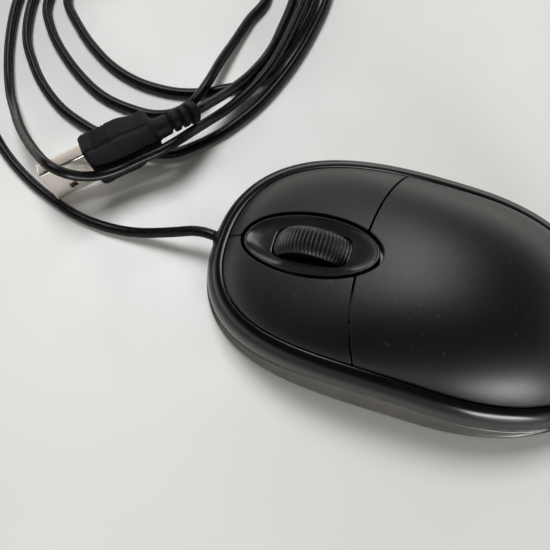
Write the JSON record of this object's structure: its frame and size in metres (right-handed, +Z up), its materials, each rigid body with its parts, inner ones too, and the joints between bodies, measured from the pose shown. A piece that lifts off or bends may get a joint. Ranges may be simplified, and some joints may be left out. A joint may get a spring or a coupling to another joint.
{
  "type": "computer mouse",
  "caption": "Wired optical computer mouse with two sprung keys, a scroll wheel that turns and clicks, an open interior of real parts, and a looped cord with a plug.",
  "frame": {"origin": "on the surface the mouse stands on, under the middle of its housing", "axes": "+Y towards the nose, where the cord leaves; +X to the mouse's right; +Z up"},
  "size_m": [0.1482, 0.2038, 0.0318],
  "materials": {
    "matte_black_abs": "fine matte texture",
    "satin_black_abs": "satin gloss",
    "bezel_dark_satin": "satin",
    "wheel_rubber": "ribbed rubber",
    "board_green": "solder mask",
    "plastic_white": "moulded",
    "plastic_red": "moulded",
    "plastic_clear": "clear moulded",
    "steel": "stamped, plated",
    "contact_gold": "plated",
    "cord_pvc": "satin sleeve",
    "slide_pad": "smooth pad"
  },
  "bodies": {
    "housing": {"base_shell": "matte_black_abs", "frame_band": "satin_black_abs", "palm_cover": "matte_black_abs", "wheel_bezel": "bezel_dark_satin", "cord_grommet": "cord_pvc", "case_screw": "steel", "glide_foot_front_left": "slide_pad", "glide_foot_front_right": "slide_pad", "glide_foot_rear_left": "slide_pad", "glide_foot_rear_right": "slide_pad", "encoder_emitter": "plastic_clear", "encoder_receiver": "matte_black_abs", "circuit_board": "board_green", "board_screw_left": "steel", "board_screw_right": "steel", "left_switch": "plastic_white", "right_switch": "plastic_white", "middle_switch": "steel", "sensor_chip": "matte_black_abs", "sensor_lens": "plastic_clear", "led": "plastic_red", "led_clip": "matte_black_abs", "capacitor_large": "satin_black_abs", "capacitor_small": "satin_black_abs", "resonator": "steel", "cable_socket": "plastic_white", "cable_plug_housing": "plastic_white", "inner_lead": "cord_pvc", "plug_overmold": "cord_pvc", "plug_shell": "steel", "plug_tongue": "plastic_white", "plug_contacts": "contact_gold", "cord": "cord_pvc"},
    "left_key": {"left_key": "matte_black_abs"},
    "right_key": {"right_key": "matte_black_abs"},
    "left_plunger": {"left_switch_plunger": "plastic_red"},
    "right_plunger": {"right_switch_plunger": "plastic_red"},
    "carrier": {"wheel_carrier": "matte_black_abs", "carrier_spring": "steel"},
    "middle_plunger": {"middle_switch_plunger": "plastic_red"},
    "wheel": {"wheel_hub": "matte_black_abs", "wheel_tyre": "wheel_rubber", "encoder_disc": "plastic_red"}
  },
  "joints": [
    {"name": "left_key_press", "type": "hinge", "parent": "housing", "child": "left_key", "pos_m": [0, 0.003, 0.0254], "axis": [-1, 0, 0], "range_deg": [0, 1], "stiffness_Nm_per_rad": 0.9, "springref_deg": -0.57},
    {"name": "right_key_press", "type": "hinge", "parent": "housing", "child": "right_key", "pos_m": [0, 0.003, 0.0254], "axis": [-1, 0, 0], "range_deg": [0, 1], "stiffness_Nm_per_rad": 0.9, "springref_deg": -0.57},
    {"name": "left_switch_press", "type": "slide", "parent": "housing", "child": "left_plunger", "axis": [0, 0, -1], "range_m": [0, 0.00065]},
    {"name": "right_switch_press", "type": "slide", "parent": "housing", "child": "right_plunger", "axis": [0, 0, -1], "range_m": [0, 0.00065]},
    {"name": "wheel_click", "type": "slide", "parent": "housing", "child": "carrier", "axis": [0, 0, -1], "range_m": [0, 0.0006], "stiffness_N_per_m": 400, "springref_m": -0.0006, "deforming": ["carrier_spring"]},
    {"name": "middle_switch_press", "type": "slide", "parent": "housing", "child": "middle_plunger", "axis": [0, 0, -1], "range_m": [0, 0.00061]},
    {"name": "wheel_spin", "type": "hinge", "parent": "carrier", "child": "wheel", "pos_m": [0, 0.02635, 0.0172], "axis": [-1, 0, 0], "continuous": true}
  ],
  "couplings": [
    {"joint": "left_switch_press", "follows": "left_key_press", "m_per_rad": 0.0355},
    {"joint": "right_switch_press", "follows": "right_key_press", "m_per_rad": 0.0355},
    {"joint": "middle_switch_press", "follows": "wheel_click", "ratio": 1}
  ]
}
